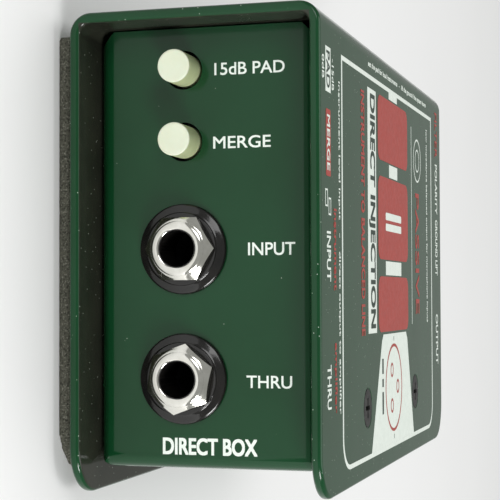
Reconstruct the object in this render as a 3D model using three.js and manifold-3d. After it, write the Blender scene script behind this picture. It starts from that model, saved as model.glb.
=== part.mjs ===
// Direct injection box: a folded steel sleeve around a recessed inner chassis, with its
// switches, jacks, balanced output, circuit board and transformer as separate pieces.
//
// Millimetres, +Z up. The box lies on its no-slip pad, whose underside is z = 0.
// The front panel faces -Y, the sleeve's spine is at -X and its open side at +X.

import * as THREE from 'three';
import Module from 'manifold-3d';
import { mergeVertices } from 'three/addons/utils/BufferGeometryUtils.js';

const wasm = await Module();
wasm.setup();

// Driving dimensions
const SHELL_WIDTH = 84;            // X, spine to the plates' open edges
const SHELL_LENGTH = 127;          // Y
const SHELL_HEIGHT = 45;           // Z, bottom plate to top plate
const SHEET = 1.9;                 // 14 gauge steel
const SHELL_BEND = 3.8;            // outer radius of the sleeve's two bends
const PLATE_CORNER = 8.5;          // rounded corners of the plates at the open side
const CLEAR = 0.3;                 // gap between pieces that touch
const PAD_SPACE = 3.0;             // pad thickness and its gap
const PAD_INSET = 2.4;             // pad back from the sleeve's front and rear edges
const PAD_SPINE_INSET = 3.5;
const PAD_OPEN_INSET = 3.1;
const PAD_CORNER = 10;             // at the open side, following the plates' corners
const PAD_SPINE_CORNER = 1.2;
const PANEL_RECESS = 8.3;          // front and rear panels, back from the sleeve's edges
const WALL_RECESS = 4.25;          // side wall, back from the plates' open edges
const CHASSIS_BEND = 3.0;
const FLANGE_DEPTH = 10;           // flanges of the front and rear panels
const SCREW_FLANGE = 18;           // flanges of the side wall, which take the screws

const CONTROL_Z = PAD_SPACE + 18.3;                 // height of switches and jacks
const SWITCH_X = [-32.4, -19.7];                    // pad, merge
const REAR_SWITCH_X = [-32.4, -19.7, -7.0];         // speaker filter, polarity, ground lift
const INPUT_X = -0.8;
const THRU_X = 21.9;
const XLR_X = 18;

const BUTTON_RADIUS = 2.9;
const BUTTON_HEIGHT = 5.6;         // cap face in front of the panel
const BUTTON_TRAVEL = 3.0;
const SWITCH_HOLE = 3.45;
const SWITCH_SIZE = 8;

const JACK_BORE = 3.2;             // takes a 6.35 mm plug
const BUSHING_RADIUS = 4.6;
const NUT_ACROSS_FLATS = 11.1;
const NUT_THICKNESS = 2.2;
const RING_RADIUS = 7.95;
const RING_THICKNESS = 1.2;
const HOUSING_WIDTH = 15.6;
const HOUSING_LENGTH = 25;

const SCREW_X = 28.7;
const SCREW_Y = 25.8;
const SCREW_HEAD = 3.65;           // radius of the flat head, whose cone is 90 degrees
const SCREW_SHANK = 1.65;
const SCREW_LENGTH = 6.4;

const BOARD_THICKNESS = 1.6;
const BOARD_TOP = 12.0;

// Derived places
const BACK_X = -SHELL_WIDTH / 2;
const OPEN_X = SHELL_WIDTH / 2;
const FRONT_Y = -SHELL_LENGTH / 2;
const SHELL_BOTTOM = PAD_SPACE;
const SHELL_TOP = PAD_SPACE + SHELL_HEIGHT;
const CHASSIS_BOTTOM = SHELL_BOTTOM + SHEET + CLEAR;
const CHASSIS_TOP = SHELL_TOP - SHEET - CLEAR;
const CHASSIS_X = OPEN_X - WALL_RECESS;
const PANEL_EDGE_X = BACK_X + SHEET + CLEAR;
const PANEL_Y = FRONT_Y + PANEL_RECESS;
const PANEL_BACK_Y = PANEL_Y + SHEET;
const MIDDLE_Z = (CHASSIS_BOTTOM + CHASSIS_TOP) / 2;
const BEYOND = 200;

// Finishes
const finish = (color, roughness, metalness) => new THREE.MeshStandardMaterial({ color, roughness, metalness });
const greenPaint = () => finish(0x2f5a42, 0.25, 0.1);
const ivoryPlastic = () => finish(0xe6edd6, 0.45, 0);
const blackPlastic = () => finish(0x1c1c1c, 0.3, 0);
const greyPlastic = () => finish(0x3a3c3e, 0.5, 0);
const nickel = () => finish(0xd8dacb, 0.15, 1);
const blackScrew = () => finish(0x141414, 0.35, 0.6);
const foam = () => finish(0x3e443e, 0.95, 0);

// ---- solids ----

function solidOf(geometry) {
  const bare = geometry.index ? geometry.toNonIndexed() : geometry.clone();
  bare.deleteAttribute('normal');
  bare.deleteAttribute('uv');
  const merged = mergeVertices(bare, 1e-4);
  return new wasm.Manifold(new wasm.Mesh({
    numProp: 3,
    vertProperties: new Float32Array(merged.attributes.position.array),
    triVerts: new Uint32Array(merged.index.array),
  }));
}

function geometryOf(solid) {
  const mesh = solid.getMesh();
  const geometry = new THREE.BufferGeometry();
  geometry.setAttribute('position', new THREE.BufferAttribute(new Float32Array(mesh.vertProperties), 3));
  geometry.setIndex(new THREE.BufferAttribute(new Uint32Array(mesh.triVerts), 1));
  geometry.computeVertexNormals();
  return geometry;
}

function block(x0, x1, y0, y1, z0, z1) {
  const geometry = new THREE.BoxGeometry(x1 - x0, y1 - y0, z1 - z0);
  geometry.translate((x0 + x1) / 2, (y0 + y1) / 2, (z0 + z1) / 2);
  return solidOf(geometry);
}

// Round bar between two heights on an axis; at = [x, y, z] gives the other two coordinates.
function rod(axis, radius, from, to, at, sides = 40) {
  const geometry = new THREE.CylinderGeometry(radius, radius, to - from, sides);
  geometry.translate(0, (from + to) / 2, 0);
  if (axis === 'z') geometry.rotateX(Math.PI / 2);
  if (axis === 'x') geometry.rotateZ(-Math.PI / 2);
  geometry.translate(axis === 'x' ? 0 : at[0], axis === 'y' ? 0 : at[1], axis === 'z' ? 0 : at[2]);
  return solidOf(geometry);
}

// Extruded outline. Its own x and y become X and Z (along Y), X and Y (along Z) or Y and Z (along X).
function prism(axis, shape, from, to, curveSegments = 8) {
  const geometry = new THREE.ExtrudeGeometry(shape, { depth: to - from, bevelEnabled: false, curveSegments });
  if (axis === 'z') geometry.translate(0, 0, from);
  if (axis === 'y') {
    geometry.rotateX(Math.PI / 2);
    geometry.translate(0, to, 0);
  }
  if (axis === 'x') {
    geometry.rotateX(Math.PI / 2);
    geometry.rotateZ(Math.PI / 2);
    geometry.translate(from, 0, 0);
  }
  return solidOf(geometry);
}

// Turned piece around a line parallel to Y, from [radius, y] points that start and end on the axis,
// or that close on themselves around a bore.
function turned(points, x, z, sides = 40) {
  const geometry = new THREE.LatheGeometry(points.map(([r, y]) => new THREE.Vector2(r, y)), sides);
  geometry.translate(x, 0, z);
  return solidOf(geometry);
}

// Turned piece with a bore. Its section is given up the bore and back down the outside, and it is
// turned in the opposite order, which puts its faces outwards.
function ring(outline, x, z, sides = 40) {
  return turned([...outline, outline[0]].reverse(), x, z, sides);
}

// Turned piece around Z, from [radius, z] points that start and end on the axis.
function upright(points, sides = 24) {
  const geometry = new THREE.LatheGeometry(points.map(([r, z]) => new THREE.Vector2(r, z)), sides);
  geometry.rotateX(Math.PI / 2);
  return solidOf(geometry);
}

// Rectangle with its own radius at each corner: low-low, high-low, high-high, low-high.
function roundedRectangle(x0, x1, y0, y1, radii) {
  const [a, b, c, d] = radii;
  const shape = new THREE.Shape();
  shape.moveTo(x0 + a, y0);
  shape.lineTo(x1 - b, y0);
  if (b) shape.absarc(x1 - b, y0 + b, b, -Math.PI / 2, 0, false);
  shape.lineTo(x1, y1 - c);
  if (c) shape.absarc(x1 - c, y1 - c, c, 0, Math.PI / 2, false);
  shape.lineTo(x0 + d, y1);
  if (d) shape.absarc(x0 + d, y1 - d, d, Math.PI / 2, Math.PI, false);
  shape.lineTo(x0, y0 + a);
  if (a) shape.absarc(x0 + a, y0 + a, a, Math.PI, Math.PI * 1.5, false);
  return shape;
}

function polygon(points) {
  const shape = new THREE.Shape();
  points.forEach(([x, y], i) => (i ? shape.lineTo(x, y) : shape.moveTo(x, y)));
  shape.closePath();
  return shape;
}

const box = new THREE.Group();

function add(name, solid, material) {
  const mesh = new THREE.Mesh(geometryOf(solid), material);
  mesh.name = name;
  box.add(mesh);
}

// Mirror a piece from the front panel to the rear one.
function toRear(solid) {
  return solid.mirror([0, 1, 0]);
}

// ---- casing ----

function outerShell() {
  const inner = SHELL_BEND - SHEET;
  const outside = roundedRectangle(BACK_X, OPEN_X, SHELL_BOTTOM, SHELL_TOP, [SHELL_BEND, 0, 0, SHELL_BEND]);
  const inside = roundedRectangle(BACK_X + SHEET, BEYOND, SHELL_BOTTOM + SHEET, SHELL_TOP - SHEET,
    [inner, 0, 0, inner]);
  const plan = roundedRectangle(-BEYOND, OPEN_X, FRONT_Y, -FRONT_Y, [0, PLATE_CORNER, PLATE_CORNER, 0]);
  let shell = prism('y', outside, FRONT_Y, -FRONT_Y)
    .subtract(prism('y', inside, -BEYOND, BEYOND))
    .intersect(prism('z', plan, -BEYOND, BEYOND));
  for (const y of [-SCREW_Y, SCREW_Y]) {
    const hole = countersink();
    shell = shell
      .subtract(hole.translate([SCREW_X, y, SHELL_TOP]))
      .subtract(hole.mirror([0, 0, 1]).translate([SCREW_X, y, SHELL_BOTTOM]));
  }
  return shell;
}

// Conical hole for a flat screw head, cut down through a plate whose face is z = 0.
function countersink() {
  const mouth = SCREW_HEAD + CLEAR;
  const over = 1;
  return upright([
    [0, -SHEET - over],
    [mouth - SHEET, -SHEET - over],
    [mouth - SHEET, -SHEET],
    [mouth, 0],
    [mouth, over],
    [0, over],
  ]);
}

// A box with rounded edges, open towards the spine, as the folded chassis is.
function chassisBlank(inset, radius) {
  const y1 = -PANEL_Y - inset;
  const x1 = CHASSIS_X - inset;
  const z0 = CHASSIS_BOTTOM + inset;
  const z1 = CHASSIS_TOP - inset;
  const plan = roundedRectangle(-BEYOND, x1, -y1, y1, [0, radius, radius, 0]);
  const across = roundedRectangle(-y1, y1, z0, z1, [radius, radius, radius, radius]);
  const along = roundedRectangle(-BEYOND, x1, z0, z1, [0, radius, radius, 0]);
  return prism('z', plan, z0, z1, 4)
    .intersect(prism('x', across, -BEYOND, x1, 4))
    .intersect(prism('y', along, -y1, y1, 4));
}

function innerChassis() {
  const wallInner = CHASSIS_X - SCREW_FLANGE;
  const openEnd = -PANEL_Y - FLANGE_DEPTH;
  const corner = 3;
  const window = polygon([
    [-BEYOND, -openEnd],
    [wallInner - corner, -openEnd],
    [wallInner, -openEnd + corner],
    [wallInner, openEnd - corner],
    [wallInner - corner, openEnd],
    [-BEYOND, openEnd],
  ]);
  let chassis = chassisBlank(0, CHASSIS_BEND)
    .subtract(chassisBlank(SHEET, CHASSIS_BEND - SHEET))
    .intersect(block(PANEL_EDGE_X, BEYOND, -BEYOND, BEYOND, 0, BEYOND))
    .subtract(prism('z', window, 0, SHELL_TOP + 1));
  chassis = cutCorners(chassis);
  for (const y of [-SCREW_Y, SCREW_Y]) {
    chassis = chassis.subtract(rod('z', SCREW_SHANK + CLEAR, 0, SHELL_TOP, [SCREW_X, y, 0], 24));
  }
  return cutPanels(chassis);
}

// Chamfered free corners of the panels, and the slits between neighbouring flanges.
function cutCorners(chassis) {
  const chamfer = 3.0;
  const over = 1;
  const slit = 0.8;
  const slitLength = 20;
  let cut = chassis;
  for (const z of [CHASSIS_BOTTOM, CHASSIS_TOP]) {
    const inward = z < MIDDLE_Z ? 1 : -1;
    const corner = [
      [PANEL_EDGE_X - over, z - inward * over],
      [PANEL_EDGE_X + chamfer, z - inward * over],
      [PANEL_EDGE_X + chamfer, z],
      [PANEL_EDGE_X, z + inward * chamfer],
      [PANEL_EDGE_X - over, z + inward * chamfer],
    ];
    const outline = inward > 0 ? corner : corner.reverse();
    cut = cut.subtract(prism('y', polygon(outline), -BEYOND, BEYOND));
    for (const side of [-1, 1]) {
      const strip = new THREE.BoxGeometry(slitLength, slit, SHEET * 2);
      strip.translate(-slitLength / 2 - CHASSIS_BEND, 0, 0);
      strip.rotateZ(side * Math.PI / 4);
      strip.translate(CHASSIS_X, -side * PANEL_Y, z);
      cut = cut.subtract(solidOf(strip));
    }
  }
  return cut;
}

function cutPanels(chassis) {
  let cut = chassis;
  const front = [-BEYOND, 0];
  for (const x of SWITCH_X) {
    cut = cut.subtract(rod('y', SWITCH_HOLE, ...front, [x, 0, CONTROL_Z], 32));
  }
  for (const x of [INPUT_X, THRU_X]) {
    cut = cut.subtract(rod('y', JACK_SHOULDER + CLEAR, ...front, [x, 0, CONTROL_Z], 32));
  }
  for (const x of REAR_SWITCH_X) {
    cut = cut.subtract(rod('y', SWITCH_HOLE, 0, BEYOND, [x, 0, CONTROL_Z], 32));
  }
  cut = cut.subtract(rod('y', XLR_BODY + CLEAR, 0, BEYOND, [XLR_X, 0, MIDDLE_Z], 36));
  for (const side of [-1, 1]) {
    const at = [XLR_X + side * XLR_SCREW_X, 0, MIDDLE_Z + side * XLR_SCREW_Z];
    cut = cut.subtract(rod('y', XLR_SCREW + CLEAR, 0, BEYOND, at, 20));
  }
  return cut;
}

function noSlipPad() {
  const end = FRONT_Y + PAD_INSET;
  const outline = roundedRectangle(BACK_X + PAD_SPINE_INSET, OPEN_X - PAD_OPEN_INSET, end, -end,
    [PAD_SPINE_CORNER, PAD_CORNER, PAD_CORNER, PAD_SPINE_CORNER]);
  const screwOpening = SCREW_HEAD + 1;
  let pad = prism('z', outline, 0, PAD_SPACE - CLEAR);
  for (const y of [-SCREW_Y, SCREW_Y]) {
    pad = pad.subtract(rod('z', screwOpening, -PAD_SPACE, PAD_SPACE, [SCREW_X, y, 0], 28));
  }
  return pad;
}

// Flat-headed screw pointing down, its face at z = 0, with a cross recess.
function shellScrew() {
  const tip = 0.6;
  const recessArm = 1.9;
  const recessHalf = 0.4;
  const recessDepth = 1.1;
  return upright([
    [0, -SCREW_LENGTH],
    [SCREW_SHANK - tip / 2, -SCREW_LENGTH],
    [SCREW_SHANK, -SCREW_LENGTH + tip],
    [SCREW_SHANK, SCREW_SHANK - SCREW_HEAD],
    [SCREW_HEAD, 0],
    [0, 0],
  ])
    .subtract(block(-recessArm, recessArm, -recessHalf, recessHalf, -recessDepth, recessDepth))
    .subtract(block(-recessHalf, recessHalf, -recessArm, recessArm, -recessDepth, recessDepth));
}

function addShellScrews() {
  [-SCREW_Y, SCREW_Y].forEach((y, i) => {
    const down = shellScrew().translate([SCREW_X, y, SHELL_TOP]);
    const up = shellScrew().rotate([180, 0, 0]).translate([SCREW_X, y, SHELL_BOTTOM]);
    add(`shell_screw_${i + 1}`, down, blackScrew());
    add(`shell_screw_${i + 3}`, up, blackScrew());
  });
}

// ---- jacks ----

const JACK_SHOULDER = 5.6;         // the ring's neck, which centres it in the panel
const RING_FACE_Y = PANEL_Y - CLEAR - RING_THICKNESS;
const NUT_BACK_Y = RING_FACE_Y - CLEAR;
const NUT_FACE_Y = NUT_BACK_Y - NUT_THICKNESS;
const INNER_WASHER_Y = PANEL_BACK_Y + CLEAR;
const INNER_WASHER = 0.8;
const INNER_WASHER_RADIUS = 7.2;
const HOUSING_Y = INNER_WASHER_Y + INNER_WASHER + CLEAR;
const HOUSING_BOTTOM = BOARD_TOP + CLEAR;
const HOUSING_TOP = CONTROL_Z + 9;
const BUSHING_FLANGE = 6.1;
const BUSHING_FLANGE_THICKNESS = 1.6;

// Black insulating ring: a rounded rim, then a slope up to the raised seat of the nut.
function jackRing(x) {
  const hole = BUSHING_RADIUS + CLEAR;
  const back = PANEL_Y - CLEAR;
  const rim = 0.5;
  const rimRound = 0.35;
  const slope = RING_RADIUS - 1.25;
  const seat = RING_RADIUS - 1.6;
  return ring([
    [hole, RING_FACE_Y],
    [hole, PANEL_BACK_Y - CLEAR],
    [JACK_SHOULDER, PANEL_BACK_Y - CLEAR],
    [JACK_SHOULDER, back],
    [RING_RADIUS, back],
    [RING_RADIUS, back - rim],
    [RING_RADIUS - rimRound, back - rim - rimRound],
    [slope, back - rim - rimRound - 0.05],
    [seat, RING_FACE_Y],
  ], x, CONTROL_Z);
}

// Hexagon nut with a crowned front; turn is the angle of its first corner from straight up.
function jackNut(x, turn) {
  const radius = NUT_ACROSS_FLATS / Math.sqrt(3);
  const hexagon = new THREE.CylinderGeometry(radius, radius, NUT_THICKNESS, 6);
  hexagon.rotateY(turn);
  hexagon.translate(x, (NUT_FACE_Y + NUT_BACK_Y) / 2, CONTROL_Z);
  const hole = BUSHING_RADIUS + CLEAR;
  const face = hole + 0.1;
  const outside = radius + 0.1;
  const frontCrown = (outside - face) * Math.tan(Math.PI / 6);
  const backCrown = 0.3;
  const crown = turned([
    [0, NUT_FACE_Y],
    [face, NUT_FACE_Y],
    [outside, NUT_FACE_Y + frontCrown],
    [outside, NUT_BACK_Y - backCrown],
    [outside - 2 * backCrown, NUT_BACK_Y],
    [0, NUT_BACK_Y],
  ], x, CONTROL_Z, 48);
  const bore = rod('y', hole, -BEYOND, 0, [x, 0, CONTROL_Z]);
  return solidOf(hexagon).intersect(crown).subtract(bore);
}

// Threaded sleeve with a flange inside the housing.
function jackBushing(x) {
  const mouth = NUT_FACE_Y - 0.1;
  const flange = HOUSING_Y + CLEAR;
  const flangeBack = flange + BUSHING_FLANGE_THICKNESS;
  const leadIn = 0.5;
  const edge = 0.25;
  return ring([
    [JACK_BORE, mouth + leadIn],
    [JACK_BORE, flangeBack],
    [BUSHING_FLANGE, flangeBack],
    [BUSHING_FLANGE, flange],
    [BUSHING_RADIUS, flange],
    [BUSHING_RADIUS, mouth + edge],
    [BUSHING_RADIUS - edge, mouth],
    [JACK_BORE + leadIn, mouth],
  ], x, CONTROL_Z);
}

function innerWasher(x) {
  const hole = BUSHING_RADIUS + CLEAR;
  return ring([
    [hole, INNER_WASHER_Y],
    [hole, INNER_WASHER_Y + INNER_WASHER],
    [INNER_WASHER_RADIUS, INNER_WASHER_Y + INNER_WASHER],
    [INNER_WASHER_RADIUS, INNER_WASHER_Y],
  ], x, CONTROL_Z, 24);
}

const SPRING_SLOT = 4.2;
const SPRING_SLOT_START = 5.5;
const SPRING_WIDTH = 3.2;
const SPRING_THICKNESS = 0.5;
const SPRING_Z = CONTROL_Z + 4.6;

function jackHousing(x) {
  const half = HOUSING_WIDTH / 2;
  const slot = SPRING_SLOT / 2;
  const rearWall = 1.6;
  const back = HOUSING_Y + HOUSING_LENGTH;
  const outline = roundedRectangle(x - half, x + half, HOUSING_BOTTOM, HOUSING_TOP, [0.6, 0.6, 1.6, 1.6]);
  const at = [x, 0, CONTROL_Z];
  const flangeBack = HOUSING_Y + BUSHING_FLANGE_THICKNESS + 2 * CLEAR;
  return prism('y', outline, HOUSING_Y, back, 3)
    .subtract(rod('y', BUSHING_FLANGE + CLEAR, -BEYOND, flangeBack, at, 24))
    .subtract(rod('y', JACK_BORE + 0.1, -BEYOND, back + 1, at, 24))
    .subtract(block(x - slot, x + slot, HOUSING_Y + SPRING_SLOT_START, back - rearWall, CONTROL_Z, BEYOND));
}

// Leaf that presses on the plug's tip: a strip with a shallow V at its free end.
function tipSpring(x) {
  const root = HOUSING_Y + SPRING_SLOT_START + 0.7;
  const dip = root + 13;
  const bend = dip - 4;
  const end = dip + 3;
  const low = CONTROL_Z + 2.1;
  const top = [[root, SPRING_Z], [bend, SPRING_Z], [dip, low], [end, SPRING_Z - 1.2]];
  const outline = [...top, ...top.map(([y, z]) => [y, z + SPRING_THICKNESS]).reverse()];
  const half = SPRING_WIDTH / 2;
  return prism('x', polygon(outline), x - half, x + half);
}

function addJack(name, x, nutTurn) {
  add(`${name}_jack_ring`, jackRing(x), blackPlastic());
  add(`${name}_jack_nut`, jackNut(x, nutTurn), nickel());
  add(`${name}_jack_bushing`, jackBushing(x), nickel());
  add(`${name}_jack_inner_washer`, innerWasher(x), blackPlastic());
  add(`${name}_jack_housing`, jackHousing(x), greyPlastic());
  add(`${name}_jack_tip_spring`, tipSpring(x), nickel());
}

// ---- push switches ----

const SWITCH_Y = PANEL_BACK_Y + 5.5;
const SWITCH_LENGTH = 13;
const SWITCH_BACK_WALL = 1.5;
const CAP_BACK_Y = SWITCH_Y - BUTTON_TRAVEL - 2 * CLEAR;
const STEM = 2.2;                  // the plunger's square stem, which the cap fits over
const STEM_LENGTH = 4.5;
const PLUNGER = 3.4;
const PLUNGER_REACH = 7.5;         // how far the plunger goes into its body at rest

function switchBody(x) {
  const half = SWITCH_SIZE / 2;
  const channel = PLUNGER / 2 + CLEAR;
  const back = SWITCH_Y + SWITCH_LENGTH;
  const lid = CONTROL_Z + half + 0.6;
  return block(x - half, x + half, SWITCH_Y, back, BOARD_TOP + CLEAR, lid)
    .subtract(block(x - channel, x + channel, SWITCH_Y - 1, back - SWITCH_BACK_WALL,
      CONTROL_Z - channel, CONTROL_Z + channel));
}

function switchPlunger(x) {
  const stem = STEM / 2;
  const thick = PLUNGER / 2;
  const shoulder = CAP_BACK_Y + CLEAR;
  return block(x - thick, x + thick, shoulder, SWITCH_Y + PLUNGER_REACH, CONTROL_Z - thick, CONTROL_Z + thick)
    .add(block(x - stem, x + stem, shoulder - STEM_LENGTH, shoulder + CLEAR, CONTROL_Z - stem, CONTROL_Z + stem));
}

function buttonCap(x) {
  const face = PANEL_Y - BUTTON_HEIGHT;
  const edge = 0.25;
  const socket = STEM / 2 + CLEAR;
  const socketEnd = CAP_BACK_Y - STEM_LENGTH - 2 * CLEAR;
  const cap = turned([
    [0, face],
    [BUTTON_RADIUS - edge, face],
    [BUTTON_RADIUS, face + edge],
    [BUTTON_RADIUS, CAP_BACK_Y],
    [0, CAP_BACK_Y],
  ], x, CONTROL_Z, 32);
  return cap.subtract(block(x - socket, x + socket, socketEnd, CAP_BACK_Y + 1,
    CONTROL_Z - socket, CONTROL_Z + socket));
}

function addSwitch(name, x, place) {
  add(`${name}_switch_body`, place(switchBody(x)), blackPlastic());
  add(`${name}_switch_plunger`, place(switchPlunger(x)), ivoryPlastic());
  add(`${name}_button`, place(buttonCap(x)), ivoryPlastic());
}

// ---- balanced output: male three-pin connector on the rear panel ----

const XLR_BODY = 11.6;
const XLR_FLANGE_X = 26;
const XLR_FLANGE_Z = 31;
const XLR_FLANGE = 2.0;
const XLR_FLANGE_CORNER = 2;
const XLR_CAVITY = 9.6;
const XLR_SCREW_X = 9.5;
const XLR_SCREW_Z = 12;
const XLR_SCREW = 1.5;
const XLR_SCREW_HEAD = 2.7;
const XLR_SCREW_LENGTH = 9;
const XLR_REAR_Y = -PANEL_Y;
const XLR_DEPTH = 14.5;
const XLR_FLOOR_Y = XLR_REAR_Y - XLR_DEPTH;
const XLR_TAIL = 3;                // shell past the floor of its cavity
const XLR_FACE_Y = XLR_REAR_Y + CLEAR + XLR_FLANGE;
const PIN_CIRCLE = 3.6;            // distance of each pin from the centre
const PIN_RADIUS = 1.2;
const PIN_TAIL = 8.5;
const pinPlaces = [[-PIN_CIRCLE, 0.9], [PIN_CIRCLE, 0.9], [0, -PIN_CIRCLE]];

function xlrShell() {
  const halfX = XLR_FLANGE_X / 2;
  const halfZ = XLR_FLANGE_Z / 2;
  const corner = XLR_FLANGE_CORNER;
  const at = [XLR_X, 0, MIDDLE_Z];
  const tail = XLR_FLOOR_Y - XLR_TAIL;
  const plate = roundedRectangle(XLR_X - halfX, XLR_X + halfX, MIDDLE_Z - halfZ, MIDDLE_Z + halfZ,
    [corner, corner, corner, corner]);
  let shell = prism('y', plate, XLR_REAR_Y + CLEAR, XLR_FACE_Y, 4)
    .add(rod('y', XLR_BODY, tail, XLR_FACE_Y - XLR_FLANGE / 4, at, 36))
    .subtract(rod('y', XLR_CAVITY, tail - 1, XLR_FACE_Y + 1, at));
  for (const side of [-1, 1]) {
    const hole = [XLR_X + side * XLR_SCREW_X, 0, MIDDLE_Z + side * XLR_SCREW_Z];
    shell = shell.subtract(rod('y', XLR_SCREW + CLEAR, 0, BEYOND, hole, 20));
  }
  return shell.add(xlrKey());
}

// Rib along the top of the cavity, which turns the cable's connector the right way up.
function xlrKey() {
  const half = 1.2;
  const wall = MIDDLE_Z + XLR_CAVITY;
  return block(XLR_X - half, XLR_X + half, XLR_FLOOR_Y + 1, XLR_FACE_Y - 1.2, wall - 0.9, wall + 0.8);
}

function xlrInsert() {
  const front = XLR_FLOOR_Y + 0.7;
  const back = XLR_FLOOR_Y - 5.5;
  let insert = rod('y', XLR_CAVITY - CLEAR, back, front, [XLR_X, 0, MIDDLE_Z], 36);
  for (const [dx, dz] of pinPlaces) {
    insert = insert.subtract(rod('y', PIN_RADIUS + CLEAR, back - 1, front + 1, [XLR_X + dx, 0, MIDDLE_Z + dz], 16));
  }
  return insert;
}

function xlrPin(x, z) {
  const front = XLR_REAR_Y - 0.6;
  const back = XLR_FLOOR_Y - PIN_TAIL;
  return turned([
    [0, back],
    [PIN_RADIUS, back],
    [PIN_RADIUS, front - 0.9],
    [PIN_RADIUS * 0.7, front - 0.25],
    [0, front],
  ], x, z, 16);
}

function xlrScrew(x, z) {
  const seat = XLR_FACE_Y + CLEAR;
  const recessArm = 1.4;
  const recessHalf = 0.3;
  const recessFloor = seat + 0.7;
  return turned([
    [0, seat - XLR_SCREW_LENGTH],
    [XLR_SCREW, seat - XLR_SCREW_LENGTH],
    [XLR_SCREW, seat],
    [XLR_SCREW_HEAD, seat],
    [XLR_SCREW_HEAD, seat + 0.5],
    [XLR_SCREW_HEAD - 0.6, seat + 1.3],
    [0, seat + 1.5],
  ], x, z, 24)
    .subtract(block(x - recessArm, x + recessArm, recessFloor, BEYOND, z - recessHalf, z + recessHalf))
    .subtract(block(x - recessHalf, x + recessHalf, recessFloor, BEYOND, z - recessArm, z + recessArm));
}

function addXlr() {
  add('xlr_shell', xlrShell(), blackPlastic());
  add('xlr_insert', xlrInsert(), blackPlastic());
  pinPlaces.forEach(([dx, dz], i) => add(`xlr_pin_${i + 1}`, xlrPin(XLR_X + dx, MIDDLE_Z + dz), nickel()));
  [-1, 1].forEach((side, i) => {
    const screw = xlrScrew(XLR_X + side * XLR_SCREW_X, MIDDLE_Z + side * XLR_SCREW_Z);
    add(`xlr_screw_${i + 1}`, screw, blackScrew());
  });
}

// ---- inside ----

const PART_Z = BOARD_TOP + CLEAR;  // undersides of what stands on the board

function circuitBoard() {
  const inner = CHASSIS_X - SHEET - CLEAR * 2;
  const end = PANEL_BACK_Y + CLEAR * 2;
  const outline = roundedRectangle(-38.5, inner, end, -end, [1.5, 1.5, 1.5, 1.5]);
  return prism('z', outline, BOARD_TOP - BOARD_THICKNESS, BOARD_TOP, 3);
}

const CAN = { x0: -37, x1: -5, y0: -26, y1: 6, top: BOARD_TOP + 27, wall: 0.9, corner: 4 };
const CAN_X = (CAN.x0 + CAN.x1) / 2;
const CAN_Y = (CAN.y0 + CAN.y1) / 2;
const CORE = { halfX: 12, halfY: 13, limb: 4, yoke: 3.5, bottom: BOARD_TOP + 8, top: BOARD_TOP + 19 };
const WINDING_WALL = 3.4;

// The can's outline in plan, moved in by a distance.
function canOutline(inset) {
  const radius = CAN.corner - inset;
  return roundedRectangle(CAN.x0 + inset, CAN.x1 - inset, CAN.y0 + inset, CAN.y1 - inset,
    [radius, radius, radius, radius]);
}

function transformerCan() {
  return prism('z', canOutline(0), PART_Z, CAN.top, 5)
    .subtract(prism('z', canOutline(CAN.wall), 0, CAN.top - CAN.wall, 5));
}

function transformerBase() {
  const thickness = 2;
  return prism('z', canOutline(CAN.wall + CLEAR), PART_Z, PART_Z + thickness, 4);
}

// Laminated core: an outer frame with a middle limb along Y.
function transformerCore() {
  const windowY = CORE.halfY - CORE.limb;
  let core = block(CAN_X - CORE.halfX, CAN_X + CORE.halfX, CAN_Y - CORE.halfY, CAN_Y + CORE.halfY,
    CORE.bottom, CORE.top);
  for (const side of [-1, 1]) {
    const near = CAN_X + side * CORE.limb;
    const far = CAN_X + side * (CORE.halfX - CORE.yoke);
    core = core.subtract(block(Math.min(near, far), Math.max(near, far), CAN_Y - windowY, CAN_Y + windowY,
      CORE.bottom - 1, CORE.top + 1));
  }
  return core;
}

// Winding round the middle limb.
function transformerWinding() {
  const half = CORE.limb + CLEAR;
  const reach = CORE.halfX - CORE.yoke - CLEAR;
  const end = CORE.halfY - CORE.limb - 0.4;
  const outline = roundedRectangle(CAN_X - reach, CAN_X + reach, CORE.bottom - CLEAR - WINDING_WALL,
    CORE.top + CLEAR + WINDING_WALL, [2, 2, 2, 2]);
  return prism('y', outline, CAN_Y - end, CAN_Y + end, 4)
    .subtract(block(CAN_X - half, CAN_X + half, -BEYOND, BEYOND, CORE.bottom - CLEAR, CORE.top + CLEAR));
}

// Axial resistor with its wires along Y and swollen ends.
function resistor(x, y) {
  const radius = 1.25;
  const waist = 0.85 * radius;
  const wire = 0.3;
  const half = [
    [wire, 5.2],
    [wire, 3.2],
    [radius, 2.9],
    [radius, 2.0],
    [waist, 1.6],
  ];
  const low = half.map(([r, reach]) => [r, y - reach]);
  const high = half.map(([r, reach]) => [r, y + reach]).reverse();
  const ends = [[0, y - half[0][1]], [0, y + half[0][1]]];
  return turned([ends[0], ...low, ...high, ends[1]], x, PART_Z + 1.7, 10);
}

function filmCapacitor(x0, x1, y0, y1, height) {
  return prism('z', roundedRectangle(x0, x1, y0, y1, [0.6, 0.6, 0.6, 0.6]), PART_Z, PART_Z + height, 2);
}

function addElectronics() {
  add('circuit_board', circuitBoard(), finish(0x1d5a36, 0.5, 0));
  add('transformer_can', transformerCan(), finish(0x9a9a94, 0.35, 0.9));
  add('transformer_base', transformerBase(), blackPlastic());
  add('transformer_core', transformerCore(), finish(0x6d6d6d, 0.5, 0.8));
  add('transformer_winding', transformerWinding(), finish(0x9a5a2a, 0.4, 0.6));
  const beige = () => finish(0xc9b48a, 0.5, 0);
  const row = -14;
  add('pad_resistor_1', resistor(2, row), beige());
  add('pad_resistor_2', resistor(7, row), beige());
  add('merge_resistor_1', resistor(12, row), beige());
  add('merge_resistor_2', resistor(17, row), beige());
  add('ground_lift_resistor', resistor(7, 24), beige());
  add('ground_lift_capacitor', filmCapacitor(10, 17.5, 18, 21.5, 7), finish(0xa8842c, 0.4, 0));
  add('speaker_filter_capacitor', filmCapacitor(0, 13, -1, 6, 12), finish(0xa83a2c, 0.4, 0));
}

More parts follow.
